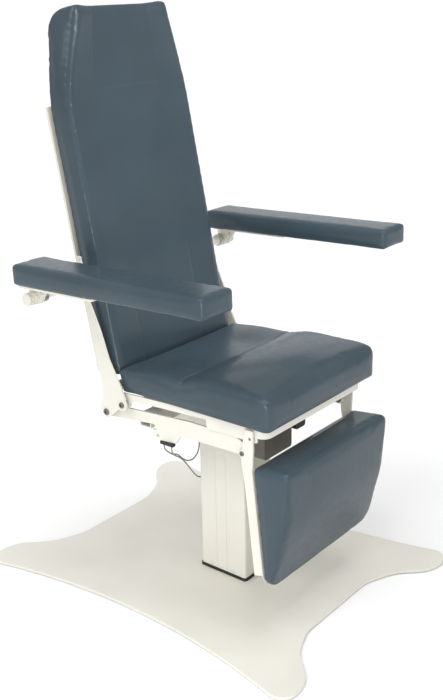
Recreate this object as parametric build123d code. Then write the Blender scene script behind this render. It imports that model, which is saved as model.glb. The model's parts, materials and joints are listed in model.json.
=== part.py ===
from build123d import *
import os
from math import sin, cos, radians, tan, pi

# Powered procedure chair. Millimetres, +Z up. The chair faces -Y and the
# sitter's left is +X. The origin is on the floor, under the middle of the base.

# ---------------------------------------------------------------- dimensions
BASE_LENGTH = 1116.0        # front tip to rear tip
BASE_WIDTH = 852.0          # across the tips
BASE_WAIST = 716.0          # across the middle
BASE_END = 431.0            # middle of the front and rear edges
PAD_HEIGHT = 3.0            # rubber pads under the base
BASE_THICK = 9.0
BASE_TOP = PAD_HEIGHT + BASE_THICK

COLUMN_Y = -72.0            # middle of the column
COLUMN_WIDTH = 128.0
COLUMN_DEPTH = 164.0
COLUMN_WALL = 4.0
SHROUD_BOTTOM = 20.5
SHROUD_TOP = 421.0
INNER_GAP = 4.0             # between shroud and inner column

BEAM_TOP = 510.0
BEAM_FRONT = -226.0
BEAM_REAR = 189.0
BEAM_WALL = 5.0
BEAM_CAP = 3.0              # plate at the rear end
BEAM_COVER = 46.0           # moulded cover at the front end

# joint centres in the side view, as (y, z)
BACK_PIVOT = (166.0, 541.0)
SEAT_LINK = (106.0, 575.0)
LEG_PIVOT = (-283.0, 527.0)
LEG_LINK = (-308.0, 574.0)
ARM_PIVOT = (278.0, 885.0)
LIFT_ROD_RADIUS = 14.0
RUNNING = 0.06              # radial running clearance on every pivot
BACK_BOLT = 6.0             # radii of the pivots
SEAT_BOLT = 5.0
LEG_PIN = 5.0
LINK_PIN = 4.0

# side plates and rails: distances of outer faces from the middle plane
RAIL_FRONT_X = 228.0        # seat rail, straight part at the front
RAIL_REAR_X = 257.0         # seat rail at RAIL_REAR_Y
RAIL_BEND_Y = -205.0
RAIL_REAR_Y = 110.0
RAIL_THICK = 5.0
RAIL_TOP = 606.0
RAIL_BOTTOM = 588.0
SKIRT_BOTTOM = 562.0
SEAT_FRONT_Y = -352.0
SEAT_WIDTH = 511.0
CORNER_RADIUS = 28.0
CHASSIS_INSET = 6.5         # chassis rails stand this far inside the seat rails
CHASSIS_BEND_Y = -95.0      # straight further back, so the seat's skirt can pass outside
CHASSIS_THICK = 6.0
BACK_PLATE_X = 265.0        # inner face of the back's side plates
BACK_PLATE_THICK = 6.0
LEG_PLATE_X = 231.0
LEG_PLATE_THICK = 6.0

RECLINE_ANGLE = 11.0        # back cushion from the vertical
BACK_FOOT = (190.0, 527.0)  # where the back's own axes start, as (y, z)
BACK_BOTTOM, BACK_KINK, BACK_TOP = 112.0, 868.0, 1089.0
BACK_HALF, BACK_TOP_HALF = 247.0, 186.0
BACK_BOARD = 7.0
BOARD_TOP = 846.0

ARM_MIDDLE_X = 394.5
ARM_WIDTH = 119.0
ARM_LENGTH = 651.0
ARM_THICK = 57.0
ARM_MIDDLE = (-21.5, 965.7)
ARM_SLOPE = -1.9            # rises to the front
ARM_TUBE_RADIUS = 13.0
ARM_TUBE_HALF = 424.0

LEG_TOP = (-316.0, 490.0)   # top of the leg rest's back plane
LEG_LEAN = 6.3
LEG_HALF = 244.0
LEG_LENGTH = 338.0
LEG_CORNER = 42.0
LEG_BOARD = 3.0

ROD_X, ROD_Z = 105.0, 490.0  # back actuator's line
DRIVE_PIN = (195.6, 494.6)
CLEAR = 0.4                  # between a cushion and the board that it wraps
CABLE_RADIUS = 2.0

parts = {}


# ------------------------------------------------------------------- helpers
def outline(*points):
    """Closed polygon through the points, as a face."""
    return make_face(Polyline(*points, close=True))


def disc(centre, radius):
    """Round face in the side view."""
    return Pos(*centre) * Circle(radius)


def link(c0, r0, c1, r1):
    """Two round ends joined by their tangents."""
    return make_hull((disc(c0, r0) + disc(c1, r1)).edges())


def across(face, x0, x1):
    """Side-view face (y, z) made solid between two distances from the middle."""
    return extrude(Plane.YZ.offset(x0) * face, x1 - x0)


def rod_across(centre, radius, x0, x1):
    """Round bar along X."""
    return across(disc(centre, radius), x0, x1)


def socket_head(centre, radius, x0, height):
    """Button head with a hexagon socket, its flat side at x0."""
    head = rod_across(centre, radius, x0, x0 + height)
    head = fillet(head.faces().sort_by(Axis.X)[-1].edges(), 0.45 * height)
    socket = Pos(*centre) * RegularPolygon(0.42 * radius, 6)
    return head - across(socket, x0 + 0.4 * height, x0 + height + 1)


def other_side(solid):
    """The same piece on the sitter's right."""
    return mirror(solid, about=Plane.YZ)


def both(solid):
    """One node that holds the piece and its mirror image."""
    return Compound(children=[solid, other_side(solid)])


def block(x0, x1, y0, y1, z0, z1):
    """Rectangular block between two corners."""
    return Pos((x0 + x1) / 2, (y0 + y1) / 2, (z0 + z1) / 2) * Box(x1 - x0, y1 - y0, z1 - z0)


def box_tube(width, depth, wall, corner):
    """Section of a rectangular tube with rounded corners."""
    outside = RectangleRounded(width, depth, corner)
    return outside - RectangleRounded(width - 2 * wall, depth - 2 * wall, corner - 1)


def back_point(s, t):
    """Point on the back: s up its length, t forward of its rear plane."""
    lean = radians(RECLINE_ANGLE)
    return (BACK_FOOT[0] + s * sin(lean) - t * cos(lean),
            BACK_FOOT[1] + s * cos(lean) + t * sin(lean))


def leg_point(s, t):
    """Point on the leg rest: s down its back plane, t forward of it."""
    lean = radians(LEG_LEAN)
    return (LEG_TOP[0] - s * sin(lean) - t * cos(lean),
            LEG_TOP[1] - s * cos(lean) + t * sin(lean))


# ---------------------------------------------------------- base and column
def make_base():
    half_l, half_w, waist = BASE_LENGTH / 2, BASE_WIDTH / 2, BASE_WAIST / 2
    tip = (half_w - 45, half_l - 45)
    side = ThreePointArc((half_w, -tip[1]), (waist, 0), (half_w, tip[1]))
    corner = ThreePointArc((half_w, tip[1]), (tip[0] + 31.8, tip[1] + 31.8), (tip[0], half_l))
    end = Spline((tip[0], half_l), (312, 537), (253, 479), (180, 443), (110, BASE_END),
                 tangents=[(-1, 0), (-1, 0)])
    middle = Line((110, BASE_END), (0, BASE_END))
    quarter = [corner, end, middle]
    upper = quarter + [e.mirror(Plane.YZ) for e in quarter]
    lower = [e.mirror(Plane.XZ) for e in upper]
    face = make_face([side, side.mirror(Plane.YZ)] + upper + lower)
    plate = extrude(Pos(0, 0, PAD_HEIGHT) * face, BASE_THICK)
    bolt_places = [(x, COLUMN_Y + y) for x in (-38, 38) for y in (-56, 56)]
    for x, y in bolt_places:
        plate -= Pos(x, y, BASE_TOP) * Cylinder(5.1, 17)
    parts["base_plate"] = plate

    places = [(x, y) for x in (-372, 372) for y in (-500, 500)] + [(-320, 0), (320, 0)]
    parts["base_pads"] = Compound(children=[
        Pos(x, y, PAD_HEIGHT / 2) * Cylinder(22, PAD_HEIGHT) for x, y in places])

    width = COLUMN_WIDTH - 2 * (COLUMN_WALL + INNER_GAP)
    depth = COLUMN_DEPTH - 2 * (COLUMN_WALL + INNER_GAP)
    tube = extrude(Pos(0, COLUMN_Y, BASE_TOP) * box_tube(width, depth, 4, 6), 393)
    foot = extrude(Pos(0, COLUMN_Y, BASE_TOP) * RectangleRounded(width - 4, depth - 4, 4), 8)
    for x, y in bolt_places:
        foot -= Pos(x, y, BASE_TOP + 4) * Cylinder(5.1, 8)
    parts["inner_column"] = tube + foot
    bolt = Pos(0, 0, -8) * Cylinder(5, 16) + Pos(0, 0, 4) * Cylinder(8, 8)
    bolt -= Pos(0, 0, 5.6) * extrude(RegularPolygon(4, 6), 3)
    parts["column_bolts"] = Compound(children=[
        Pos(x, y, BASE_TOP + 8) * bolt for x, y in bolt_places])

    ring = RectangleRounded(COLUMN_WIDTH + 6, COLUMN_DEPTH + 6, 9)
    ring -= RectangleRounded(width + 1, depth + 1, 6.5)
    parts["column_gasket"] = extrude(Pos(0, COLUMN_Y, BASE_TOP) * ring, 8)

    body = Circle(36) - Circle(LIFT_ROD_RADIUS + RUNNING)
    sleeve = extrude(Pos(0, COLUMN_Y, 28) * body, 317)
    parts["lift_actuator"] = sleeve + Pos(0, COLUMN_Y, 24) * Cylinder(36, 8)


def make_column():
    section = box_tube(COLUMN_WIDTH, COLUMN_DEPTH, COLUMN_WALL, 7)
    for y in (-15, 22):
        for x in (-COLUMN_WIDTH / 2, COLUMN_WIDTH / 2):
            section -= Pos(x, y) * Circle(1.2)
    height = SHROUD_TOP - SHROUD_BOTTOM
    parts["column_shroud"] = extrude(Pos(0, COLUMN_Y, SHROUD_BOTTOM) * section, height)

    head = Rot(0, 90, 0) * (Cylinder(5, 2.4) - Pos(0, 0, 1.4) * Box(6, 1.2, 1.2))
    screws = [Pos(x, y, 31) * Rot(0, 0, turn) * head
              for x, turn in ((-COLUMN_WIDTH / 2 - 1.2, 180), (COLUMN_WIDTH / 2 + 1.2, 0))
              for y in (-28, -107)]
    parts["shroud_screws"] = Compound(children=screws)

    inside_w = COLUMN_WIDTH - 2 * COLUMN_WALL - 0.6
    inside_d = COLUMN_DEPTH - 2 * COLUMN_WALL - 0.6
    plate = extrude(Pos(0, COLUMN_Y, SHROUD_TOP - 10) * RectangleRounded(inside_w, inside_d, 5), 10)
    parts["head_plate"] = plate
    rod_length = SHROUD_TOP - 10 - 32
    parts["lift_rod"] = Pos(0, COLUMN_Y, 32 + rod_length / 2) * Cylinder(LIFT_ROD_RADIUS, rod_length)


def make_beam():
    height = BEAM_TOP - SHROUD_TOP
    section = box_tube(COLUMN_WIDTH, height, BEAM_WALL, 7)
    middle_z = (BEAM_TOP + SHROUD_TOP) / 2
    length = BEAM_REAR - BEAM_FRONT - BEAM_CAP - BEAM_COVER
    start = Plane(origin=(0, BEAM_REAR - BEAM_CAP, middle_z), x_dir=(1, 0, 0), z_dir=(0, -1, 0))
    parts["spine_beam"] = extrude(start * section, length)
    cap = RectangleRounded(COLUMN_WIDTH, height, 7)
    rear = Plane(origin=(0, BEAM_REAR, middle_z), x_dir=(1, 0, 0), z_dir=(0, -1, 0))
    front = Plane(origin=(0, BEAM_FRONT + BEAM_COVER, middle_z), x_dir=(1, 0, 0), z_dir=(0, -1, 0))
    parts["beam_end_caps"] = Compound(children=[extrude(front * cap, BEAM_COVER),
                                                extrude(rear * cap, BEAM_CAP)])
    # three-pin power inlet on the rear cap, open to the rear
    inlet = block(-16, 16, BEAM_REAR, BEAM_REAR + 9, 452, 478)
    inlet -= block(-12, 12, BEAM_REAR + 2, BEAM_REAR + 9, 456, 474)
    for x in (-7, 0, 7):
        inlet += block(x - 1, x + 1, BEAM_REAR + 1, BEAM_REAR + 7, 463, 467)
    parts["power_inlet"] = inlet
    # hollow cross members between the beam and the two rails
    for name, y0, y1 in (("front", -222, -182), ("rear", 36, 76)):
        reach = chassis_rail_x(y0) - CHASSIS_THICK - 0.5
        tube = block(-reach, reach, y0, y1, BEAM_TOP, 548)
        tube -= block(-reach - 1, reach + 1, y0 + 3, y1 - 3, BEAM_TOP + 3, 545)
        parts[f"chassis_{name}_cross_member"] = tube


# ------------------------------------------------------------ rails of frame
def rail_outer_x(y, bend_y, inset=0.0):
    """Outer face of a rail at y: straight in front of its bend, splayed behind it."""
    slope = (RAIL_REAR_X - RAIL_FRONT_X) / (RAIL_REAR_Y - bend_y)
    return RAIL_FRONT_X - inset + max(0.0, y - bend_y) * slope


def seat_rail_x(y):
    return rail_outer_x(y, RAIL_BEND_Y)


def chassis_rail_x(y):
    return rail_outer_x(y, CHASSIS_BEND_Y, CHASSIS_INSET)


def rail_strip(outer_x, y0, bend_y, y1, thick, z0, z1):
    """Plan strip of one bent rail, as a tall solid that a side view cuts."""
    points = [(outer_x(y), y) for y in (y0, bend_y, y1)]
    inner = [(x - thick, y) for x, y in reversed(points)]
    return extrude(Pos(0, 0, z0) * outline(*points, *inner), z1 - z0)


def make_chassis():
    # side view of a chassis rail: shallow at the rear, deeper from the middle forward
    face = outline((BACK_PIVOT[0], 560), (BACK_PIVOT[0], 524), (20, 530), (8, 507), (-250, 514),
                   (-283, 513), (-283, 545), (-250, 560))
    face += disc(BACK_PIVOT, 19)
    face += disc(LEG_PIVOT, 14)
    face += outline((-66, 514), (-50, 486), (8, 486), (26, 514))
    face -= disc((8, 499), 4)
    face -= disc(BACK_PIVOT, BACK_BOLT)
    face -= disc(LEG_PIVOT, LEG_PIN)
    strip = rail_strip(chassis_rail_x, -300, CHASSIS_BEND_Y, 190, CHASSIS_THICK, 470, 600)
    rail = across(face, 190, 290) & strip
    parts["chassis_rail_left"] = rail
    parts["chassis_rail_right"] = other_side(rail)

    # back pivot bolts: nut, shank, spacer collar and head outside the back plate
    plate_in = chassis_rail_x(BACK_PIVOT[0] - 16) - CHASSIS_THICK - 1.6
    collar_from = chassis_rail_x(BACK_PIVOT[0] + 15) + 0.2
    outside = BACK_PLATE_X + BACK_PLATE_THICK
    bolt = rod_across(BACK_PIVOT, BACK_BOLT - 0.02, plate_in - 6, outside + 1)
    bolt += rod_across(BACK_PIVOT, 11, plate_in - 8, plate_in)
    bolt += rod_across(BACK_PIVOT, 13, collar_from, BACK_PLATE_X - 0.3)
    bolt += socket_head(BACK_PIVOT, 9.5, outside + 0.3, 4.7)
    parts["back_pivot_bolts"] = both(bolt)

    rail_x = RAIL_FRONT_X - CHASSIS_INSET
    leg_out = LEG_PLATE_X + LEG_PLATE_THICK
    pin = rod_across(LEG_PIVOT, LEG_PIN - 0.02, rail_x - CHASSIS_THICK - 3, leg_out + 1)
    pin += rod_across(LEG_PIVOT, 9, rail_x - CHASSIS_THICK - 6, rail_x - CHASSIS_THICK - 0.1)
    pin += rod_across(LEG_PIVOT, 9, rail_x + 0.1, LEG_PLATE_X - 0.3)
    pin += socket_head(LEG_PIVOT, 6.5, leg_out + 0.3, 3)
    parts["leg_pivot_pins"] = both(pin)


# --------------------------------------------------------------- actuators
def make_back_actuator():
    line = Plane(origin=(ROD_X, 85, ROD_Z), x_dir=(1, 0, 0), z_dir=(0, -1, 0))
    sleeve = extrude(line * (Circle(18) - Circle(8 + RUNNING)), 243)
    parts["back_actuator_tube"] = sleeve
    motor = block(ROD_X - 24, ROD_X + 24, -228, -158.5, 462, 509)
    motor = fillet(motor.edges().filter_by(Axis.Y), 8)
    parts["back_actuator_motor"] = motor
    saddle = block(COLUMN_WIDTH / 2 + 0.1, ROD_X, -58, -22, 474, 506)
    saddle -= Pos(ROD_X, -40, ROD_Z) * Rot(90, 0, 0) * Cylinder(18.05, 60)
    parts["actuator_bracket"] = saddle
    pin_y = DRIVE_PIN[0]
    rod_line = Plane(origin=(ROD_X, pin_y - 22, ROD_Z), x_dir=(1, 0, 0), z_dir=(0, -1, 0))
    rod = extrude(rod_line * Circle(8), 255)
    # fork with an upright slot for the drive pin, open above for the lever
    fork = link((pin_y, 484), 16, (pin_y, 497), 16) + link((pin_y - 28, ROD_Z), 10, (pin_y, ROD_Z), 12)
    fork -= link((pin_y, 484.5), 6.3, (pin_y, 496), 6.3)
    fork = across(fork, ROD_X - 14, ROD_X + 14)
    fork -= block(ROD_X - 4.6, ROD_X + 4.6, pin_y - 21, pin_y + 20, 460, 520)
    parts["back_actuator_rod"] = rod + fork


# --------------------------------------------------------------------- back
def make_back():
    front = [(214, 883), (208, 849), (173, 772), (148, 700), (128, 662), (107, 625), (92, 592)]
    rear = [(193, 541), (178, 587), (186, 661), (229, 847)]
    face = outline((234, 974), *front, SEAT_LINK, BACK_PIVOT, *rear, (249, 974))
    face += link(BACK_PIVOT, 18, (SEAT_LINK[0] + 14, SEAT_LINK[1] + 8), 18)
    face += disc(SEAT_LINK, 18)
    face -= disc(BACK_PIVOT, BACK_BOLT + RUNNING)
    face -= disc(SEAT_LINK, SEAT_BOLT)
    plate = across(face, BACK_PLATE_X, BACK_PLATE_X + BACK_PLATE_THICK)
    parts["back_plate_left"] = plate
    parts["back_plate_right"] = other_side(plate)

    # bolts that carry the seat's rear ears
    ear_in = seat_rail_x(SEAT_LINK[0] - 12) - RAIL_THICK - 0.5
    ear_out = seat_rail_x(SEAT_LINK[0] + 12) + 0.4
    outside = BACK_PLATE_X + BACK_PLATE_THICK
    bolt = rod_across(SEAT_LINK, SEAT_BOLT - 0.02, ear_in - 4, outside + 1)
    bolt += rod_across(SEAT_LINK, 9, ear_in - 5, ear_in)
    bolt += rod_across(SEAT_LINK, 11, ear_out, BACK_PLATE_X - 0.1)
    bolt += socket_head(SEAT_LINK, 8.5, outside + 0.1, 4.2)
    parts["seat_link_bolts"] = both(bolt)

    tube_at = (165, 602)
    half = BACK_PLATE_X - 0.1
    parts["back_cross_tube"] = across(disc(tube_at, 15) - disc(tube_at, 12), -half, half)
    # bent straps from the cross tube up behind the board
    strap = outline(back_point(50, 26), back_point(108, -8), back_point(420, -8),
                    back_point(420, -1.5), back_point(112, -1.5), back_point(58, 31))
    strap -= disc(tube_at, 15.1)
    strap -= disc(ARM_PIVOT, ARM_TUBE_RADIUS + 0.1)
    parts["back_straps"] = both(across(strap, 120, 155))

    bar = link(tube_at, 18, DRIVE_PIN, 13) - disc(tube_at, 15.1) - disc(DRIVE_PIN, 5)
    parts["drive_lever"] = across(bar, ROD_X - 4, ROD_X + 4)
    parts["drive_pin"] = rod_across(DRIVE_PIN, 4.98, ROD_X - 17, ROD_X + 17)

    # board with rounded lower corners, hidden edge to edge by the cushion in front
    side = outline(back_point(BACK_BOTTOM + 6, -1), back_point(BOARD_TOP, -1),
                   back_point(BOARD_TOP, BACK_BOARD - 1), back_point(BACK_BOTTOM + 6, BACK_BOARD - 1))
    parts["back_board"] = across(side, -BACK_HALF - 2, BACK_HALF + 2)

    rear, curve = BACK_BOARD - 1 + CLEAR, 55.0
    near = curve * (1 - sin(radians(45)))
    profile = make_face([
        Polyline(back_point(BACK_TOP - curve, rear), back_point(BACK_BOTTOM, rear),
                 back_point(BACK_BOTTOM, 80), back_point(BACK_KINK, 76), back_point(BACK_TOP, 112),
                 back_point(BACK_TOP, rear + curve)),
        ThreePointArc(back_point(BACK_TOP, rear + curve), back_point(BACK_TOP - near, rear + near),
                      back_point(BACK_TOP - curve, rear))])
    cushion = across(profile, -BACK_HALF, BACK_HALF)
    plane = Plane(origin=(0, *back_point(0, 0)), x_dir=(1, 0, 0),
                  z_dir=(0, -cos(radians(RECLINE_ANGLE)), sin(radians(RECLINE_ANGLE))))
    sign = [(-BACK_HALF, BACK_BOTTOM), (BACK_HALF, BACK_BOTTOM), (BACK_HALF, BACK_KINK),
            (BACK_TOP_HALF, BACK_TOP), (-BACK_TOP_HALF, BACK_TOP), (-BACK_HALF, BACK_KINK)]
    front_view = outline(*sign)
    front_view = fillet(front_view.vertices().group_by(Axis.Y)[-1], 15)
    cushion &= extrude(plane * front_view, 150)
    channel = outline(back_point(90, 71), back_point(BACK_KINK, 67), back_point(1110, 93),
                      back_point(1110, 140), back_point(90, 140))
    cushion -= across(channel, -128, 128)
    parts["back_cushion"] = cushion


# ----------------------------------------------------------------- arms
def make_arms():
    half = ARM_TUBE_HALF
    tube = across(disc(ARM_PIVOT, ARM_TUBE_RADIUS) - disc(ARM_PIVOT, 10), -half, half)
    parts["arm_tube"] = tube
    cap = rod_across(ARM_PIVOT, 17, half + 0.1, half + 7)
    cap = fillet(cap.faces().sort_by(Axis.X)[-1].edges(), 4)
    cap += rod_across(ARM_PIVOT, 9.9, half - 14, half + 1)
    parts["arm_tube_caps"] = both(cap)
    # brackets that hold the tube behind the back plates
    ear = outline((222, 846), (206, 872), (214, 892), (262, 898), (262, 872)) + disc(ARM_PIVOT, 20)
    ear += outline((240, 868), (240, 900), ARM_PIVOT)
    ear -= disc(ARM_PIVOT, ARM_TUBE_RADIUS + 0.05)
    parts["arm_tube_brackets"] = both(across(ear, BACK_PLATE_X - 6.1, BACK_PLATE_X - 0.1))
    collar = disc(ARM_PIVOT, 19) - disc(ARM_PIVOT, ARM_TUBE_RADIUS + 0.05)
    parts["arm_stop_collars"] = both(across(collar, 366, 378))

    pad = Box(ARM_WIDTH, ARM_LENGTH, ARM_THICK)
    pad = fillet(pad.edges().filter_by(Axis.Z), 14)
    pad = fillet(pad.faces().sort_by(Axis.Z)[-1].edges(), 9)
    pad = fillet(pad.faces().sort_by(Axis.Z)[0].edges(), 6)
    pad = Pos(ARM_MIDDLE_X, *ARM_MIDDLE) * Rot(ARM_SLOPE, 0, 0) * pad
    under = ARM_THICK / 2
    bar = Box(84, 276, 6)
    bar = fillet(bar.edges().filter_by(Axis.Z), 8)
    bar = Pos(ARM_MIDDLE_X, *ARM_MIDDLE) * Rot(ARM_SLOPE, 0, 0) * Pos(8, 176, -under - 3.1) * bar
    web = outline((296, 919), (224, 921), (256, 872), ARM_PIVOT) + disc(ARM_PIVOT, 20)
    web += outline((298, 919), (260, 920), (262, 885), (298, 885))
    web -= disc(ARM_PIVOT, ARM_TUBE_RADIUS + RUNNING)
    web -= disc((252, 906), 6)
    bracket = across(web, 392, 400)
    hub = disc(ARM_PIVOT, 19) - disc(ARM_PIVOT, ARM_TUBE_RADIUS + RUNNING)
    bracket += across(hub, 380, 412)
    for name, turn in (("left", lambda s: s), ("right", other_side)):
        parts[f"arm_pad_{name}"] = turn(pad)
        parts[f"arm_bar_{name}"] = turn(bar)
        parts[f"arm_bracket_{name}"] = turn(bracket)


# ------------------------------------------------------------------- seat
def make_seat():
    corner_y = SEAT_FRONT_Y + CORNER_RADIUS
    side = outline((corner_y, RAIL_TOP), (corner_y, SKIRT_BOTTOM + 2), (-316, SKIRT_BOTTOM),
                   (-164, SKIRT_BOTTOM), (-160, RAIL_BOTTOM), (78, RAIL_BOTTOM), (88, 578),
                   (SEAT_LINK[0], SEAT_LINK[1]), (124, 576), (126, RAIL_TOP))
    side += disc(SEAT_LINK, 18)
    side -= disc(SEAT_LINK, SEAT_BOLT + RUNNING)
    # slot that the leg rest's link pin runs in
    slot_z = LEG_LINK[1] + 0.8
    side -= link((LEG_LINK[0] - 3, slot_z), 5.6, (LEG_LINK[0] + 7.5, slot_z), 5.6)
    strip = rail_strip(seat_rail_x, corner_y, RAIL_BEND_Y, 140, RAIL_THICK, 540, 620)
    rail = across(side, 190, 290) & strip
    parts["seat_rail_left"] = rail
    parts["seat_rail_right"] = other_side(rail)

    outer = RAIL_FRONT_X
    inner = outer - RAIL_THICK
    plan = make_face([
        Line((outer, corner_y), (inner, corner_y)),
        RadiusArc((inner, corner_y), (inner - CORNER_RADIUS + RAIL_THICK, SEAT_FRONT_Y + RAIL_THICK),
                  CORNER_RADIUS - RAIL_THICK),
        Line((inner - CORNER_RADIUS + RAIL_THICK, SEAT_FRONT_Y + RAIL_THICK),
             (-inner + CORNER_RADIUS - RAIL_THICK, SEAT_FRONT_Y + RAIL_THICK)),
        RadiusArc((-inner + CORNER_RADIUS - RAIL_THICK, SEAT_FRONT_Y + RAIL_THICK),
                  (-inner, corner_y), CORNER_RADIUS - RAIL_THICK),
        Line((-inner, corner_y), (-outer, corner_y)),
        RadiusArc((-outer, corner_y), (-outer + CORNER_RADIUS, SEAT_FRONT_Y), -CORNER_RADIUS),
        Line((-outer + CORNER_RADIUS, SEAT_FRONT_Y), (outer - CORNER_RADIUS, SEAT_FRONT_Y)),
        RadiusArc((outer - CORNER_RADIUS, SEAT_FRONT_Y), (outer, corner_y), -CORNER_RADIUS)])
    parts["seat_front_rail"] = extrude(Pos(0, 0, 577) * plan, RAIL_TOP - 577)

    bars = []
    for y in (-250, 30):
        reach = seat_rail_x(y - 20) - RAIL_THICK - 0.2
        bars.append(block(-reach, reach, y - 20, y + 20, RAIL_TOP - 6, RAIL_TOP - 0.1))
    parts["seat_cross_bars"] = Compound(children=bars)

    board = block(-236, 236, -360, 108, RAIL_TOP, RAIL_TOP + 12)
    board = fillet(board.edges().filter_by(Axis.Z), 22)
    parts["seat_board"] = board
    front, rear = (-381, 652), (132, 667)
    top = [front, (-374, 688), (-348, 706), (-300, 716), (-240, 717), (-160, 709), (-95, 695),
           (0, 689), (80, 680), rear]
    profile = make_face([Spline(*top), Polyline(rear, (120, RAIL_TOP), (-376, RAIL_TOP), front)])
    half = SEAT_WIDTH / 2
    cushion = across(profile, -half, half)
    plan_view = Pos(0, (front[0] + rear[0]) / 2, 600)
    plan_view *= RectangleRounded(SEAT_WIDTH, rear[0] - front[0], 18)
    cushion &= extrude(plan_view, 140)
    pocket = block(-236 - CLEAR, 236 + CLEAR, -360 - CLEAR, 108 + CLEAR, 600, RAIL_TOP + 12 + CLEAR)
    parts["seat_cushion"] = cushion - pocket


# --------------------------------------------------------------- leg rest
def make_leg_rest():
    face = outline((-317, 597), (-318, 545), (-315.5, 488), leg_point(54, 0), leg_point(300, 0),
                   leg_point(306, -30), leg_point(38, -30), (-283, 484), (-279, 516), (-292, 597))
    face += disc(LEG_PIVOT, 10.5)
    face -= disc(LEG_PIVOT, LEG_PIN + RUNNING)
    face -= disc(LEG_LINK, LINK_PIN)
    plate = across(face, LEG_PLATE_X, LEG_PLATE_X + LEG_PLATE_THICK)
    parts["leg_plate_left"] = plate
    parts["leg_plate_right"] = other_side(plate)
    tube_at = (-304, 440)
    half = LEG_PLATE_X - 0.1
    parts["leg_cross_tube"] = across(disc(tube_at, 10) - disc(tube_at, 8), -half, half)
    pin = rod_across(LEG_LINK, LINK_PIN - 0.02, RAIL_FRONT_X - RAIL_THICK - 0.6, LEG_PLATE_X + LEG_PLATE_THICK)
    parts["leg_link_pins"] = both(pin)
    gusset = outline(leg_point(14, 0), leg_point(14, -22), leg_point(46, -1))
    parts["leg_gussets"] = both(across(gusset, LEG_PLATE_X - 6.1, LEG_PLATE_X - 0.1))

    plane = Plane(origin=(0, *leg_point(0, 0)), x_dir=(1, 0, 0),
                  z_dir=(0, -cos(radians(LEG_LEAN)), sin(radians(LEG_LEAN))))

    def front_view(half_width, s0, s1, radius):
        face = outline((-half_width, -s1), (half_width, -s1), (half_width, -s0), (-half_width, -s0))
        return fillet(face.vertices().group_by(Axis.Y)[0], radius)

    board = extrude(plane * front_view(LEG_HALF - 1.5, 0, LEG_LENGTH - 3, LEG_CORNER), LEG_BOARD)
    parts["leg_board"] = board
    profile = make_face([
        Polyline(leg_point(LEG_LENGTH - 3, 20), leg_point(LEG_LENGTH, LEG_BOARD + CLEAR),
                 leg_point(-6, LEG_BOARD + CLEAR), leg_point(-8, 106), leg_point(-1, 115)),
        ThreePointArc(leg_point(-1, 115), leg_point(156, 90), leg_point(LEG_LENGTH - 3, 20))])
    cushion = across(profile, -LEG_HALF, LEG_HALF)
    cushion &= extrude(plane * front_view(LEG_HALF, -20, LEG_LENGTH + 10, LEG_CORNER), 150)
    parts["leg_cushion"] = cushion


# ------------------------------------------------------------------ cables
def cable(route):
    """Round cable along straight runs joined by arcs as large as the runs allow."""
    radii = []
    for a, b, c in zip(route, route[1:], route[2:]):
        before, after = Vector(*b) - Vector(*a), Vector(*c) - Vector(*b)
        turn = radians(before.get_angle(after))
        radii.append(0.45 * min(before.length, after.length) / tan(turn / 2))
    path = FilletPolyline(*route, radius=radii)
    section = Plane(origin=path @ 0, z_dir=path % 0) * Circle(CABLE_RADIUS)
    tube = sweep(section, path=path)
    ratio = tube.volume / (path.length * pi * CABLE_RADIUS ** 2)
    print("cable radii", [round(r) for r in radii], "length", round(path.length),
          "volume ratio", round(ratio, 4))
    return tube


def make_cables():
    # clip under the right rail's tab, connector on the back of the column, gland under the beam
    clip = block(-238, -224, -44, 0, 476, 485.9)
    parts["cable_clip"] = fillet(clip.edges().filter_by(Axis.Y), 2)
    connector = block(-22, 30, COLUMN_Y + COLUMN_DEPTH / 2 + 0.1, 38, 268, 302)
    parts["column_connector"] = fillet(connector.edges().filter_by(Axis.Z), 3)
    gland = Pos(-48, 22, SHROUD_TOP - 5) * Cylinder(6, 10)
    gland += Pos(-48, 22, SHROUD_TOP - 1.5) * Cylinder(9, 3)
    parts["beam_gland"] = gland
    parts["lift_cable"] = cable([
        (-231, -8, 476), (-230, -9, 460), (-213, -8, 443), (-190, -7, 426), (-165, -6, 408),
        (-142, -3, 386), (-120, 2, 360), (-98, 7, 333), (-74, 14, 309), (-50, 22, 292),
        (-22, 24, 286)])
    parts["back_cable"] = cable([
        (-231, -36, 476), (-230, -35, 459), (-214, -27, 443), (-191, -15, 432), (-166, -2, 416),
        (-142, 7, 393), (-116, 11, 374), (-90, 12, 368), (-66, 15, 376), (-51, 20, 392),
        (-48, 22, SHROUD_TOP - 10)])


make_base()
make_column()
make_beam()
make_chassis()
make_back_actuator()
make_back()
make_arms()
make_seat()
make_leg_rest()
make_cables()

os.makedirs("parts", exist_ok=True)
for name, shape in parts.items():
    export_step(shape, f"parts/{name}.step")
print(len(parts), "nodes")
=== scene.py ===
import json
import math

import bmesh
import bpy
import numpy as np
from mathutils import Matrix, Vector


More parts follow.
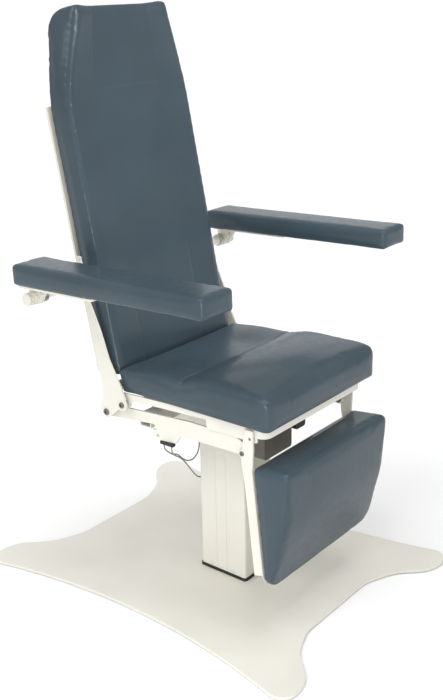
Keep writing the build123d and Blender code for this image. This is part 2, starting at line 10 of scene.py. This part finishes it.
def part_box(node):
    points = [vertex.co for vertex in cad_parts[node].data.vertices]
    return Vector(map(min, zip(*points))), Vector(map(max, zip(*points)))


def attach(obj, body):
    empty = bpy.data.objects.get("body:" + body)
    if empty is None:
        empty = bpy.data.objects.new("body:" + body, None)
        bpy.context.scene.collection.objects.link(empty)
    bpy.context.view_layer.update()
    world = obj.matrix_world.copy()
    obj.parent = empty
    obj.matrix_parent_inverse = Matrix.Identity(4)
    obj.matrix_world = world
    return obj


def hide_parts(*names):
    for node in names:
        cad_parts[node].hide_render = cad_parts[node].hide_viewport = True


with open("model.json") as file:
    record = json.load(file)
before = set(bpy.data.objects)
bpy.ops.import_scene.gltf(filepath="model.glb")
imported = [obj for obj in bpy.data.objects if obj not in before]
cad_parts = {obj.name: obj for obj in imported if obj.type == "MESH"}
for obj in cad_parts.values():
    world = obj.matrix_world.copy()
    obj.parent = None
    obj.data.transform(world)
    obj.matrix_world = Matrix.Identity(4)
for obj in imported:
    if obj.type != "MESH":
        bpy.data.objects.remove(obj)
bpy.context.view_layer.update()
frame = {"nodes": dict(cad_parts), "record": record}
scene = bpy.context.scene
scene.view_settings.view_transform = "Standard"

# Cushions are worked out in millimetres in the part's frame, and MM turns them into metres.
MM = 0.001

# Back cushion. It has its own axes: s up along its board from BACK_FOOT, t out towards the sitter.
RECLINE = math.radians(11.0)      # from the vertical
BACK_FOOT = (190.0, 527.0)        # (y, z) where s and t start
BACK_FACE = 6.6                   # t of its rear face
BACK_BOTTOM, BACK_KINK, BACK_TOP = 107.0, 868.0, 1088.0   # s where it starts, bends and ends
BACK_HALF, BACK_TOP_HALF = 246.0, 185.0                   # half widths, up to the kink and at the top
BACK_FOOT_ROUND = 4.0             # radius of its lower edges
HEAD_ROUND = 54.0                 # radius of the rear top edge of its head section
KINK_BLEND = 30.0                 # length over which the sides turn in at the kink

# Seat cushion.
SEAT_FRONT, SEAT_REAR, SEAT_BASE = -379.0, 130.5, 606.3   # y, y and z
SEAT_HALF = 254.0
SEAT_EDGE = 668.0                 # z of its rear top edge
SEAT_NOSE, SEAT_CORNER = 24.0, 19.0   # radii of its front top edge, and of its front corners
SEAT_REAR_ROUND = 4.0
CREASE_Y = -95.0                  # fold across the seat

# Leg rest cushion. Its own axes are s down along its board from LEG_TOP, and t out to the front.
LEG_LEAN = math.radians(6.3)      # from the vertical
LEG_TOP = (-316.0, 490.0)         # (y, z) where s and t start
LEG_FACE = 3.6                    # t of its rear face
LEG_START, LEG_BOTTOM = -7.0, 337.0   # s of its ends
LEG_HALF = 243.0
LEG_HEAD = 16.0                   # radius of its upper front edge
LEG_CORNER = 42.0                 # radius of its lower corners

# Arm pads.
ARM_HALF_LENGTH, ARM_HALF_WIDTH, ARM_HALF_THICK = 324.5, 58.6, 27.6
ARM_SLOPE = math.radians(-1.9)    # rises to the front
ARM_END_ROUND = 12.0              # radius of its end corners, seen from above


# ------------------------------------------------------------------ materials
TEXTURE_LOW, TEXTURE_HIGH = 0.3, 0.7   # range that most of a noise texture lies in


class Material:
    """A node material: a Principled shader, with textures placed by the object's own coordinates."""

    def __init__(self, name, **uniform):
        self.made = bpy.data.materials.new(name)
        self.made.use_nodes = True
        self.tree = self.made.node_tree
        self.shader = self.tree.nodes["Principled BSDF"]
        for socket, value in uniform.items():
            self.shader.inputs[socket.replace("_", " ")].default_value = value
        self.place = self.tree.nodes.new("ShaderNodeTexCoord").outputs["Object"]

    def node(self, kind, **values):
        """Adds a node. Each value sets a property of it, or a socket if it has no such property."""
        made = self.tree.nodes.new(kind)
        for name, value in values.items():
            if hasattr(made, name):
                setattr(made, name, value)
            else:
                made.inputs[name.replace("_", " ")].default_value = value
        return made

    def join(self, output, target):
        self.tree.links.new(output, target)

    def noise(self, scale, detail=2.0, stretch=None):
        """Cloudy texture. stretch scales the coordinates along x, y and z."""
        made = self.node("ShaderNodeTexNoise", Scale=scale, Detail=detail)
        place = self.place
        if stretch:
            mapping = self.node("ShaderNodeMapping")
            mapping.inputs["Scale"].default_value = stretch
            self.join(self.place, mapping.inputs["Vector"])
            place = mapping.outputs["Vector"]
        self.join(place, made.inputs["Vector"])
        return made.outputs["Fac"]

    def cells(self, scale):
        """Leather-like cells: 0 on their edges, rising to their middles."""
        made = self.node("ShaderNodeTexVoronoi", feature="DISTANCE_TO_EDGE", Scale=scale)
        self.join(self.place, made.inputs["Vector"])
        return made.outputs["Distance"]

    def colour(self, texture, first, second):
        """Colour that goes from the first to the second as the texture rises."""
        made = self.node("ShaderNodeValToRGB")
        stops = made.color_ramp.elements
        stops[0].position, stops[1].position = TEXTURE_LOW, TEXTURE_HIGH
        stops[0].color, stops[1].color = (*first, 1), (*second, 1)
        self.join(texture, made.inputs["Fac"])
        self.join(made.outputs["Color"], self.shader.inputs["Base Color"])

    def roughness(self, texture, low, high):
        """Roughness that goes from low to high as the texture rises."""
        made = self.node("ShaderNodeMapRange", From_Min=TEXTURE_LOW, From_Max=TEXTURE_HIGH,
                         To_Min=low, To_Max=high)
        self.join(texture, made.inputs["Value"])
        self.join(made.outputs["Result"], self.shader.inputs["Roughness"])

    def bump(self, *heights, bevel=0.0):
        """Relief from (texture, height) pairs. bevel softens hard edges. Both are in metres."""
        normal = None
        if bevel:
            normal = self.node("ShaderNodeBevel", samples=6, Radius=bevel).outputs["Normal"]
        for texture, height in heights:
            made = self.node("ShaderNodeBump", Strength=1.0, Distance=height)
            self.join(texture, made.inputs["Height"])
            if normal is not None:
                self.join(normal, made.inputs["Normal"])
            normal = made.outputs["Normal"]
        self.join(normal, self.shader.inputs["Normal"])


def make_vinyl():
    """Blue-grey upholstery vinyl: fine leather-like grain, satin, slightly uneven in tone."""
    m = Material("blue_grey_vinyl", Coat_Weight=0.38, Coat_Roughness=0.18, Specular_IOR_Level=0.12)
    m.colour(m.noise(5.0, 4.0), (0.040, 0.061, 0.077), (0.050, 0.074, 0.092))
    m.roughness(m.noise(60.0, 3.0), 0.34, 0.44)
    m.bump((m.cells(640.0), 0.00016), (m.noise(2400.0, 2.0), 0.00005), (m.noise(24.0, 2.0), 0.0005))
    return m.made


def make_paint(name, first, second, rough=(0.30, 0.40)):
    """Powder coat: a faint orange peel and slightly soft edges."""
    m = Material(name, Specular_IOR_Level=0.5, Coat_Weight=0.1, Coat_Roughness=0.15)
    m.colour(m.noise(7.0, 5.0), first, second)
    m.roughness(m.noise(40.0, 3.0), *rough)
    m.bump((m.noise(420.0, 1.5), 0.00012), (m.noise(1500.0, 1.0), 0.00002), bevel=0.0009)
    return m.made


def make_metal(name, first, second, rough, stretch=None):
    """Bare or plated metal. stretch draws its scratches out into a brushed finish."""
    m = Material(name, Metallic=1.0)
    m.colour(m.noise(35.0, 4.0), first, second)
    m.roughness(m.noise(120.0, 3.0, stretch), *rough)
    m.bump((m.noise(400.0, 2.0, stretch), 0.00003), bevel=0.0004)
    return m.made


def make_plain(name, first, second, rough):
    """Rubber and moulded plastic: fine moulded texture."""
    m = Material(name)
    m.colour(m.noise(20.0, 3.0), first, second)
    m.roughness(m.noise(90.0, 3.0), *rough)
    m.bump((m.noise(900.0, 2.0), 0.00008), bevel=0.0005)
    return m.made


def make_plywood():
    """Raw board, with its grain along y."""
    m = Material("plywood")
    m.colour(m.noise(9.0, 6.0, (14, 1, 14)), (0.42, 0.28, 0.15), (0.62, 0.46, 0.28))
    m.roughness(m.noise(50.0, 3.0), 0.6, 0.75)
    m.bump((m.noise(60.0, 4.0, (12, 1, 12)), 0.0002))
    return m.made


vinyl = make_vinyl()
MATERIALS = {
    "ivory_paint": make_paint("ivory_paint", (0.70, 0.685, 0.615), (0.74, 0.725, 0.655)),
    "ivory_plastic": make_paint("ivory_plastic", (0.66, 0.64, 0.565), (0.70, 0.68, 0.605)),
    # grey_plastic's dark brown-grey is painted shade: it copies the shadowed housing under the seat front,
    # not the plastic's own colour.
    "grey_plastic": make_plain("grey_plastic", (0.10, 0.093, 0.08), (0.14, 0.132, 0.115), (0.45, 0.6)),
    "ivory_board": make_paint("ivory_board", (0.66, 0.642, 0.572), (0.71, 0.692, 0.618), (0.4, 0.5)),
    "white_screw": make_paint("white_screw", (0.68, 0.67, 0.63), (0.72, 0.71, 0.67)),
    "black_rubber": make_plain("black_rubber", (0.012, 0.012, 0.013), (0.022, 0.022, 0.023), (0.7, 0.85)),
    "bare_steel": make_metal("bare_steel", (0.42, 0.42, 0.41), (0.55, 0.55, 0.54), (0.28, 0.42), (1, 1, 30)),
    "rod_chrome": make_metal("rod_chrome", (0.72, 0.72, 0.73), (0.8, 0.8, 0.8), (0.06, 0.14)),
    "zinc_steel": make_metal("zinc_steel", (0.16, 0.155, 0.15), (0.27, 0.26, 0.245), (0.32, 0.45)),
    "actuator_aluminium": make_metal(
        "actuator_aluminium", (0.52, 0.52, 0.53), (0.62, 0.62, 0.63), (0.3, 0.42), (30, 1, 30)),
    "black_plastic": make_plain("black_plastic", (0.014, 0.014, 0.015), (0.026, 0.026, 0.028), (0.42, 0.55)),
    "cable_jacket": make_plain("cable_jacket", (0.20, 0.19, 0.175), (0.27, 0.26, 0.24), (0.4, 0.5)),
    "blue_grey_vinyl": vinyl,
    "plywood": make_plywood(),
}
for row in frame["record"]["subparts"]:
    node = frame["nodes"][row["node"]]
    node.data.materials.clear()
    node.data.materials.append(MATERIALS[row["material_slot"]])


# ------------------------------------------------------------- cushion shapes
SMOOTH_ROUNDS = 9                 # before the cloth simulation, and again after it
CLOTH_FRAMES = 14


def arc_drop(distance, radius):
    """How far a round edge of that radius has fallen, that distance past its start."""
    inside = min(max(distance, 0.0), radius)
    return radius - math.sqrt(max(radius * radius - inside * inside, 0.0))


def between(value, points):
    """Smooth height through (position, height) points in rising order."""
    xs, ys = zip(*points)
    value = min(max(value, xs[0]), xs[-1])
    i = max(k for k in range(len(xs) - 1) if xs[k] <= value)
    t = (value - xs[i]) / (xs[i + 1] - xs[i])
    slopes = [0.0] * len(xs)
    for k in range(1, len(xs) - 1):
        slopes[k] = (ys[k + 1] - ys[k - 1]) / (xs[k + 1] - xs[k - 1])
    slopes[0] = (ys[1] - ys[0]) / (xs[1] - xs[0])
    slopes[-1] = (ys[-1] - ys[-2]) / (xs[-1] - xs[-2])
    h = xs[i + 1] - xs[i]
    return ((2 * t**3 - 3 * t**2 + 1) * ys[i] + (t**3 - 2 * t**2 + t) * h * slopes[i]
            + (-2 * t**3 + 3 * t**2) * ys[i + 1] + (t**3 - t**2) * h * slopes[i + 1])


def soft_step(value, start, end):
    """Rises smoothly from 0 at start to 1 at end."""
    t = min(max((value - start) / (end - start), 0.0), 1.0)
    return t * t * (3 - 2 * t)


def soft_min(a, b, width):
    """The smaller of two heights, rounded where they cross."""
    h = min(max(0.5 + 0.5 * (b - a) / width, 0.0), 1.0)
    return b + (a - b) * h - width * h * (1 - h)


def half_section(half, base, top, base_r, edge_r, lean=0.0):
    """Half of a cushion's cross section, from the middle of its base round to the middle of its top.
    top gives the height at a distance from the middle. lean is how far its side leans in at the top."""
    height = max(top(half - edge_r) - base, 1.0)
    fit = min(1.0, height / (base_r + edge_r + 0.5))
    base_r, edge_r = base_r * fit, edge_r * fit
    crest = top(half - edge_r)
    points = [((half - base_r) * i / 10, base) for i in range(10)]
    for k in range(6):
        a = math.radians(-90 + 18 * k)
        points.append((half - base_r + base_r * math.cos(a), base + base_r + base_r * math.sin(a)))
    low, high = base + base_r, crest - edge_r
    for k in range(1, 6):
        points.append((half, low + (high - low) * k / 6))
    for k in range(9):
        a = math.radians(90 * k / 8)
        points.append((half - edge_r + edge_r * math.cos(a), crest - edge_r + edge_r * math.sin(a)))
    reach = half - edge_r
    points += [(reach * (1 - k / 40), top(reach * (1 - k / 40))) for k in range(1, 41)]
    return [(x - lean * max(h - base, 0) / height if x > 1e-6 else x, h) for x, h in points]


def loft(name, stations, section, place):
    """Closed mesh through cross sections. place turns (across, along, height) into (x, y, z) in mm."""
    mesh = bmesh.new()
    rings = []
    for along in stations:
        half = section(along)
        ring = half + [(-x, h) for x, h in reversed(half[1:-1])]
        rings.append([mesh.verts.new(Vector(place(x, along, h)) * MM) for x, h in ring])
    count = len(rings[0])
    for a, b in zip(rings, rings[1:]):
        for i in range(count):
            j = (i + 1) % count
            mesh.faces.new((a[i], a[j], b[j], b[i]))
    mesh.faces.new(list(reversed(rings[0])))
    mesh.faces.new(rings[-1])
    bmesh.ops.recalc_face_normals(mesh, faces=mesh.faces)
    data = bpy.data.meshes.new(name)
    mesh.to_mesh(data)
    mesh.free()
    piece = bpy.data.objects.new(name, data)
    scene.collection.objects.link(piece)
    return piece


def apply_modifiers(piece):
    """Replaces the mesh by what its modifiers make of it."""
    view = bpy.context.evaluated_depsgraph_get()
    made = bpy.data.meshes.new_from_object(piece.evaluated_get(view))
    piece.modifiers.clear()
    piece.data = made


def points_of(piece):
    """The mesh's points as an array of rows."""
    flat = np.zeros(len(piece.data.vertices) * 3)
    piece.data.vertices.foreach_get("co", flat)
    return flat.reshape(-1, 3)


def smooth_skin(piece, rounds):
    """Evens the skin out without shrinking it: each inward pass is followed by an outward one."""
    count = len(piece.data.edges)
    ends = np.zeros(count * 2, dtype=np.int64)
    piece.data.edges.foreach_get("vertices", ends)
    a, b = ends.reshape(-1, 2).T
    co = points_of(piece)
    meeting = np.bincount(a, minlength=len(co)) + np.bincount(b, minlength=len(co))
    for _ in range(rounds):
        for pull in (0.50, -0.52):
            total = np.zeros_like(co)
            for axis in range(3):
                total[:, axis] = (np.bincount(a, co[b, axis], len(co))
                                  + np.bincount(b, co[a, axis], len(co)))
            co = co + pull * (total / meeting[:, None] - co)
    piece.data.vertices.foreach_set("co", co.ravel())
    piece.data.update()


def inflate(piece, cap):
    """Air pressure in a cloth simulation swells the skin, by at most cap metres."""
    start = points_of(piece)
    cloth = piece.modifiers.new("cloth", "CLOTH")
    cloth.settings.quality = 4
    cloth.settings.use_pressure = True
    cloth.settings.uniform_pressure_force = 4.0
    cloth.settings.tension_stiffness = cloth.settings.compression_stiffness = 25
    cloth.settings.shear_stiffness = 15
    cloth.settings.bending_stiffness = 2.0
    cloth.settings.effector_weights.gravity = 0.0
    cloth.collision_settings.use_collision = False
    cloth.collision_settings.use_self_collision = False
    scene.frame_set(1)
    for step in range(1, CLOTH_FRAMES + 1):
        scene.frame_set(step)
    apply_modifiers(piece)
    scene.frame_set(1)
    moved = points_of(piece) - start
    size = np.linalg.norm(moved, axis=1, keepdims=True)
    eased = cap * np.tanh(size / cap)
    held = start + moved * (eased / np.maximum(size, 1e-9))
    piece.data.vertices.foreach_set("co", held.ravel())


def stuff(piece, voxel, cap):
    """Gives the loft an even skin of voxel-sized faces, inflates it, and smooths it."""
    remesh = piece.modifiers.new("skin", "REMESH")
    remesh.mode, remesh.voxel_size, remesh.adaptivity = "VOXEL", voxel * MM, 0.0
    apply_modifiers(piece)
    smooth_skin(piece, SMOOTH_ROUNDS)
    inflate(piece, cap * MM)
    smooth_skin(piece, SMOOTH_ROUNDS)
    finer = piece.modifiers.new("finer", "SUBSURF")
    finer.levels = finer.render_levels = 1
    apply_modifiers(piece)
    for face in piece.data.polygons:
        face.use_smooth = True


def press(piece, depth_at):
    """Presses creases into a finished skin. depth_at gives the depth at a point, both in millimetres."""
    for vertex in piece.data.vertices:
        depth = depth_at(vertex.co / MM, vertex.normal)
        if depth:
            vertex.co -= vertex.normal * depth * MM
    piece.data.update()


def groove(distance, width):
    """Profile of a sewn crease: 1 in its middle, nothing past about twice its width from there."""
    return math.exp(-(distance / width) ** 2) if abs(distance) < 3 * width else 0.0


def finish_cushion(piece, node, body):
    """Covers the cushion in vinyl, in place of its plain CAD solid."""
    piece.data.materials.clear()
    piece.data.materials.append(vinyl)
    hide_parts(node)
    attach(piece, body)


def stations_between(first, last, step, first_r, last_r):
    """Places along a cushion, closer together where its two ends are rounded."""
    turns = [math.sin(math.radians(15 * k)) for k in range(7)]
    start = [first + first_r * (1 - t) for t in reversed(turns)]
    end = [last - last_r * (1 - t) for t in turns]
    middle_n = max(2, int((end[0] - start[-1]) / step))
    middle = [start[-1] + (end[0] - start[-1]) * k / middle_n for k in range(1, middle_n)]
    return start + middle + end


# ----------------------------------------------------------------- the back
def panel_half(s):
    """Half the width of the flat panel between the bolsters."""
    return between(s, [(BACK_BOTTOM, 128.0), (BACK_KINK, 128.0), (BACK_TOP, 102.0)])


def back_section(s):
    """Two bolsters with a flat panel between them. Above the kink all of it swells forward into a head."""
    narrowing = (BACK_HALF - BACK_TOP_HALF) / (BACK_TOP - BACK_KINK)
    past_kink = KINK_BLEND * math.log1p(math.exp(min((s - BACK_KINK) / KINK_BLEND, 20.0)))
    crest = between(s, [(BACK_BOTTOM, 79.0), (500, 77.0), (BACK_KINK - 80, 74.5), (BACK_KINK, 77.5),
                        (BACK_KINK + 70, 86.0), (BACK_TOP, 110.0)])
    recess = between(s, [(BACK_BOTTOM, 9.0), (BACK_KINK, 9.0), (BACK_TOP, 17.0)])
    panel = panel_half(s)
    half = BACK_HALF - narrowing * past_kink
    foot_drop = arc_drop(BACK_BOTTOM + BACK_FOOT_ROUND - s, BACK_FOOT_ROUND)
    half -= arc_drop(s - (BACK_TOP - 15), 15) + foot_drop
    lean = 1.0 + 8.0 * past_kink / (BACK_TOP - BACK_KINK)
    base = BACK_FACE + arc_drop(s - (BACK_TOP - HEAD_ROUND), HEAD_ROUND) + arc_drop(BACK_BOTTOM + 3 - s, 3)
    crest -= arc_drop(s - (BACK_TOP - 12), 12) + foot_drop

    def top(x):
        slope = recess * min(max((half - 16 - x) / (half - 16 - panel), 0.0), 1.0)
        return crest - soft_min(slope, recess, 2.5) + 1.2 * max(0.0, 1 - (x / panel) ** 2)

    return half_section(half, base, top, base_r=7.0, edge_r=9.0, lean=lean)


def back_place(x, s, t):
    """From the back's own axes to the part's frame."""
    return (x, BACK_FOOT[0] + s * math.sin(RECLINE) - t * math.cos(RECLINE),
            BACK_FOOT[1] + s * math.cos(RECLINE) + t * math.sin(RECLINE))


def back_creases(point, normal):
    """Seams where the panel meets the bolsters, and across the panel at the kink."""
    s = (point.y - BACK_FOOT[0]) * math.sin(RECLINE) + (point.z - BACK_FOOT[1]) * math.cos(RECLINE)
    if normal.y > -0.5 or s < BACK_BOTTOM + 4 or s > BACK_TOP - 4:
        return 0.0
    edge = panel_half(s)
    fade = soft_step(s, BACK_TOP, BACK_TOP - 30)
    seam = 0.7 * groove(abs(point.x) - edge, 3.6) * fade
    across = 0.7 * groove(s - BACK_KINK, 4.5) * soft_step(edge + 3 - abs(point.x), 0.0, 5.0)
    return seam + across


def make_back_cushion():
    back = loft("back_cushion_vinyl",
                stations_between(BACK_BOTTOM, BACK_TOP, 12, BACK_FOOT_ROUND, HEAD_ROUND),
                back_section, back_place)
    stuff(back, voxel=6.0, cap=3.0)
    press(back, back_creases)
    finish_cushion(back, "back_cushion", "back")


# ----------------------------------------------------------------- the seat
def seat_section(y):
    """Domed in front of the fold and dished behind it."""
    edge = between(y, [(SEAT_FRONT, 693), (-331, 700), (-240, 703), (-158, 700), (CREASE_Y, 688),
                       (-76, 686), (16, 682), (SEAT_REAR, 669)])
    crown = between(y, [(SEAT_FRONT, 5), (-322, 9), (-260, 13), (-180, 9), (CREASE_Y - 18, 1),
                        (CREASE_Y, -7), (CREASE_Y + 25, -10), (20, -12), (SEAT_REAR, -2)])
    rear_drop = arc_drop(y - (SEAT_REAR - SEAT_REAR_ROUND), SEAT_REAR_ROUND)
    half = SEAT_HALF - arc_drop(SEAT_FRONT + SEAT_CORNER - y, SEAT_CORNER) - rear_drop
    drop = arc_drop(SEAT_FRONT + SEAT_NOSE - y, SEAT_NOSE) + rear_drop
    base = SEAT_BASE + arc_drop(SEAT_FRONT + 4 - y, 4) + rear_drop
    dished = soft_step(y, CREASE_Y - 20, CREASE_Y + 20)

    def top(x):
        dome = 1 - (x / half) ** 2
        dish = 1 - soft_step(abs(x), 95.0, 215.0)
        return edge - drop + crown * (dome * (1 - dished) + dish * dished)

    edge_r = 13.0 - 6.0 * soft_step(y, -60.0, SEAT_REAR)
    return half_section(half, base, top, base_r=3.0, edge_r=edge_r)


def seat_place(x, y, z):
    """The rear face slants, parallel to the back."""
    return (x, y - 0.19 * (SEAT_EDGE - z) * soft_step(y, 60.0, SEAT_REAR), z)


def seat_creases(point, normal):
    """Fold across the seat: deep at its sides, almost gone in the middle."""
    if normal.z < 0.4:
        return 0.0
    return (0.3 + 1.7 * soft_step(abs(point.x), 60, 190)) * groove(point.y - CREASE_Y, 4.5)


def make_seat_cushion():
    seat = loft("seat_cushion_vinyl",
                stations_between(SEAT_FRONT, SEAT_REAR, 8, SEAT_NOSE, SEAT_REAR_ROUND),
                seat_section, seat_place)
    stuff(seat, voxel=5.5, cap=2.5)
    press(seat, seat_creases)
    finish_cushion(seat, "seat_cushion", "seat")


# ----------------------------------------------------------------- leg rest
def leg_section(s):
    """Flat block that tapers down to its lower edge."""
    top_h = between(s, [(LEG_START, 114.0), (60, 106.0), (156, 88.5), (248, 57.0), (LEG_BOTTOM, 22.0)])
    head_drop = arc_drop(LEG_START + LEG_HEAD - s, LEG_HEAD)
    half = LEG_HALF - arc_drop(s - (LEG_BOTTOM - LEG_CORNER), LEG_CORNER) - head_drop
    base = LEG_FACE + arc_drop(s - (LEG_BOTTOM - 4), 4) + arc_drop(LEG_START + 5 - s, 5)
    top_h -= arc_drop(s - (LEG_BOTTOM - 5), 5) + head_drop

    def top(x):
        return top_h - 2.0 * (x / half) ** 4

    return half_section(half, base, top, base_r=2.5, edge_r=9.0)


def leg_place(x, s, t):
    """From the leg rest's own axes to the part's frame."""
    return (x, LEG_TOP[0] - s * math.sin(LEG_LEAN) - t * math.cos(LEG_LEAN),
            LEG_TOP[1] - s * math.cos(LEG_LEAN) + t * math.sin(LEG_LEAN))


def make_leg_cushion():
    leg = loft("leg_cushion_vinyl", stations_between(LEG_START, LEG_BOTTOM, 10, LEG_HEAD, LEG_CORNER),
               leg_section, leg_place)
    stuff(leg, voxel=5.0, cap=2.5)
    finish_cushion(leg, "leg_cushion", "leg_rest")


# --------------------------------------------------------------------- arms
def arm_section(along):
    """Rectangular pad, a little crowned, with round corners and edges."""
    past = abs(along) - ARM_HALF_LENGTH
    half = ARM_HALF_WIDTH - arc_drop(past + ARM_END_ROUND, ARM_END_ROUND)
    height = ARM_HALF_THICK - arc_drop(past + 9, 9)
    base = -ARM_HALF_THICK + arc_drop(past + 5, 5)

    def top(x):
        return height - 1.6 * (x / ARM_HALF_WIDTH) ** 2

    return half_section(half, base, top, base_r=5.0, edge_r=8.0)


def arm_place(side):
    """From a pad's own axes to the part's frame. side is 1 for the sitter's left and -1 for the right."""
    lo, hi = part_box("arm_pad_left")
    middle = (lo + hi) / 2 / MM

    def place(x, along, h):
        y = along * math.cos(ARM_SLOPE) - h * math.sin(ARM_SLOPE)
        z = along * math.sin(ARM_SLOPE) + h * math.cos(ARM_SLOPE)
        return (side * middle.x + x, middle.y + y, middle.z + z)

    return place


def make_arm_pad(name, side):
    arm = loft(f"arm_pad_vinyl_{name}",
               stations_between(-ARM_HALF_LENGTH, ARM_HALF_LENGTH, 14, ARM_END_ROUND, ARM_END_ROUND),
               arm_section, arm_place(side))
    stuff(arm, voxel=4.5, cap=1.6)
    finish_cushion(arm, f"arm_pad_{name}", f"arm_{name}")


make_back_cushion()
make_seat_cushion()
make_leg_cushion()
make_arm_pad("left", 1)
make_arm_pad("right", -1)


# -------------------------------------------------------- stage, light, camera
def make_stage():
    """White floor, so wide that it fills the view behind the chair."""
    data = bpy.data.meshes.new("floor")
    size = 150.0
    low = -0.0006                     # just under the pads
    data.from_pydata([(-size, -size, low), (size, -size, low), (size, size, low), (-size, size, low)],
                     [], [(0, 1, 2, 3)])
    floor = bpy.data.objects.new("floor", data)
    scene.collection.objects.link(floor)
    m = Material("floor_white", Specular_IOR_Level=0.1)
    m.colour(m.noise(0.8, 2.0), (0.93, 0.93, 0.93), (0.95, 0.95, 0.95))
    m.roughness(m.noise(4.0, 2.0), 0.75, 0.85)
    data.materials.append(m.made)


def sun_light(name, azimuth, elevation, strength, angle):
    """Soft light from far away. Azimuth 0 is in front of the chair, and -90 on the sitter's right."""
    data = bpy.data.lights.new(name, "SUN")
    data.energy, data.angle = strength, math.radians(angle)
    azimuth, elevation = math.radians(azimuth), math.radians(elevation)
    towards = Vector((math.sin(azimuth) * math.cos(elevation), -math.cos(azimuth) * math.cos(elevation),
                      math.sin(elevation)))
    lamp = bpy.data.objects.new(name, data)
    lamp.rotation_euler = towards.to_track_quat("Z", "Y").to_euler()
    scene.collection.objects.link(lamp)


def panel_light(name, place, target, size, power, spread=180.0):
    """Soft box, which the camera doesn't see. A grid can narrow its spread, in degrees."""
    data = bpy.data.lights.new(name, "AREA")
    data.shape, data.size, data.size_y = "RECTANGLE", size[0], size[1]
    data.energy, data.spread = power, math.radians(spread)
    lamp = bpy.data.objects.new(name, data)
    lamp.location = place
    lamp.rotation_euler = (Vector(target) - Vector(place)).to_track_quat("-Z", "Y").to_euler()
    lamp.visible_camera = False
    scene.collection.objects.link(lamp)


def make_lights():
    """Two soft suns for the overall light, and panels that draw the highlights on the vinyl."""
    world = bpy.data.worlds.new("studio")
    scene.world = world
    world.use_nodes = True
    world.node_tree.nodes["Background"].inputs["Color"].default_value = (1.0, 1.0, 1.0, 1)
    world.node_tree.nodes["Background"].inputs["Strength"].default_value = 0.46
    sun_light("soft_side", azimuth=-98.0, elevation=47.0, strength=1.65, angle=50.0)
    sun_light("soft_top", azimuth=20.0, elevation=80.0, strength=0.95, angle=30.0)
    panel_light("strip", (-1.86, -1.62, 0.85), target=(-0.24, 0.27, 0.95), size=(0.16, 1.05), power=16.0)
    panel_light("front_high", (0.15, -1.7, 2.3), target=(0, 0.28, 1.15), size=(0.7, 0.7), power=3.0,
                spread=60.0)
    panel_light("back_wall", (2.6, 2.1, 1.9), target=(0, 0, 0.8), size=(3.0, 1.6), power=9.0)


def make_camera():
    """The photo's camera: at eye height, in front of the chair and to the sitter's right."""
    azimuth, elevation, roll = (math.radians(a) for a in (-50.77, 19.855, -1.126))
    back = Vector((math.sin(azimuth) * math.cos(elevation), -math.cos(azimuth) * math.cos(elevation),
                   math.sin(elevation)))
    right = (-back).cross(Vector((0, 0, 1))).normalized()
    up = right.cross(-back)
    right, up = (right * math.cos(roll) + up * math.sin(roll),
                 up * math.cos(roll) - right * math.sin(roll))
    data = bpy.data.cameras.new("camera")
    data.sensor_width, data.lens = 36.0, 53.034
    data.clip_end = 400.0             # past the floor's far edge
    camera = bpy.data.objects.new("camera", data)
    turn = Matrix((right, up, back)).transposed()
    camera.matrix_world = Matrix.Translation((-2.1141, -1.7549, 1.6706)) @ turn.to_4x4()
    scene.collection.objects.link(camera)
    scene.camera = camera


make_stage()
make_lights()
make_camera()
